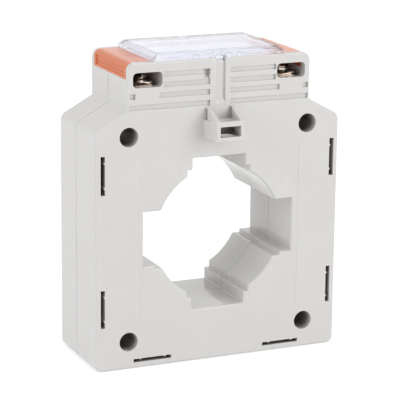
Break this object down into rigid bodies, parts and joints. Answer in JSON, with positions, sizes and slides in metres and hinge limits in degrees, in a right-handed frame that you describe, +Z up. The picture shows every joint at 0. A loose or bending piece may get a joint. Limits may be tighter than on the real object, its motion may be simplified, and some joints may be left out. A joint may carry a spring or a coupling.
{
  "type": "current transformer",
  "caption": "Window-type current transformer: moulded housing with a stepped conductor window, terminal block with lift-off caps, and a clear label cover.",
  "frame": {"origin": "middle of the base, half-way through the housing's depth", "axes": "+Z up through the terminal block, +Y from the front face to the rear along the window's axis, +X to the right seen from the front"},
  "size_m": [0.085, 0.0403, 0.102],
  "materials": {
    "housing_plastic": "light grey moulded plastic, fine spark-eroded grain",
    "clear_plastic": "clear moulded polycarbonate",
    "label_film": "bare pale film",
    "cap_plastic": "orange moulded plastic, satin",
    "nickel_brass": "bright nickel plate on brass",
    "nickel_steel": "nickel-plated steel",
    "core_steel": "strip-wound silicon steel",
    "core_plastic": "cream moulded plastic",
    "copper_wire": "enamelled copper wire",
    "polyester_tape": "polyester film tape",
    "lead_insulation": "insulated stranded lead"
  },
  "bodies": {
    "housing": {"front_housing": "housing_plastic", "rear_housing": "housing_plastic", "rating_label": "label_film", "terminal_bar_left": "nickel_brass", "terminal_bar_right": "nickel_brass", "ring_core": "core_steel", "core_cup": "core_plastic", "core_lid": "core_plastic", "secondary_winding": "copper_wire", "winding_tape": "polyester_tape", "lead_left": "lead_insulation", "lead_right": "lead_insulation"},
    "clear_cover": {"label_cover": "clear_plastic"},
    "cap_left": {"terminal_cap_left": "cap_plastic"},
    "cap_right": {"terminal_cap_right": "cap_plastic"},
    "washer_left_front": {"clamp_washer_left_front": "nickel_steel"},
    "screw_left_front": {"clamp_screw_left_front": "nickel_steel"},
    "washer_left_rear": {"clamp_washer_left_rear": "nickel_steel"},
    "screw_left_rear": {"clamp_screw_left_rear": "nickel_steel"},
    "washer_right_front": {"clamp_washer_right_front": "nickel_steel"},
    "screw_right_front": {"clamp_screw_right_front": "nickel_steel"},
    "washer_right_rear": {"clamp_washer_right_rear": "nickel_steel"},
    "screw_right_rear": {"clamp_screw_right_rear": "nickel_steel"}
  },
  "joints": [
    {"name": "cover_lift", "type": "slide", "parent": "housing", "child": "clear_cover", "axis": [0, 0, 1], "range_m": [0, 0.012]},
    {"name": "cap_left_lift", "type": "slide", "parent": "housing", "child": "cap_left", "axis": [0, 0, 1], "range_m": [0, 0.012]},
    {"name": "cap_right_lift", "type": "slide", "parent": "housing", "child": "cap_right", "axis": [0, 0, 1], "range_m": [0, 0.012]},
    {"name": "clamp_left_front_lift", "type": "slide", "parent": "housing", "child": "washer_left_front", "axis": [0, 0, 1], "range_m": [0, 0.0024]},
    {"name": "screw_left_front_turn", "type": "hinge", "parent": "washer_left_front", "child": "screw_left_front", "pos_m": [-0.0249, -0.0077, 0.0926], "axis": [0, 0, 1], "range_deg": [0, 1440]},
    {"name": "clamp_left_rear_lift", "type": "slide", "parent": "housing", "child": "washer_left_rear", "axis": [0, 0, 1], "range_m": [0, 0.0024]},
    {"name": "screw_left_rear_turn", "type": "hinge", "parent": "washer_left_rear", "child": "screw_left_rear", "pos_m": [-0.0249, 0.0077, 0.0926], "axis": [0, 0, 1], "range_deg": [0, 1440]},
    {"name": "clamp_right_front_lift", "type": "slide", "parent": "housing", "child": "washer_right_front", "axis": [0, 0, 1], "range_m": [0, 0.0024]},
    {"name": "screw_right_front_turn", "type": "hinge", "parent": "washer_right_front", "child": "screw_right_front", "pos_m": [0.0249, -0.0077, 0.0926], "axis": [0, 0, 1], "range_deg": [0, 1440]},
    {"name": "clamp_right_rear_lift", "type": "slide", "parent": "housing", "child": "washer_right_rear", "axis": [0, 0, 1], "range_m": [0, 0.0024]},
    {"name": "screw_right_rear_turn", "type": "hinge", "parent": "washer_right_rear", "child": "screw_right_rear", "pos_m": [0.0249, 0.0077, 0.0926], "axis": [0, 0, 1], "range_deg": [0, 1440]}
  ],
  "couplings": [
    {"joint": "screw_left_front_turn", "follows": "clamp_left_front_lift", "rad_per_m": 10472},
    {"joint": "screw_left_rear_turn", "follows": "clamp_left_rear_lift", "rad_per_m": 10472},
    {"joint": "screw_right_front_turn", "follows": "clamp_right_front_lift", "rad_per_m": 10472},
    {"joint": "screw_right_rear_turn", "follows": "clamp_right_rear_lift", "rad_per_m": 10472}
  ]
}
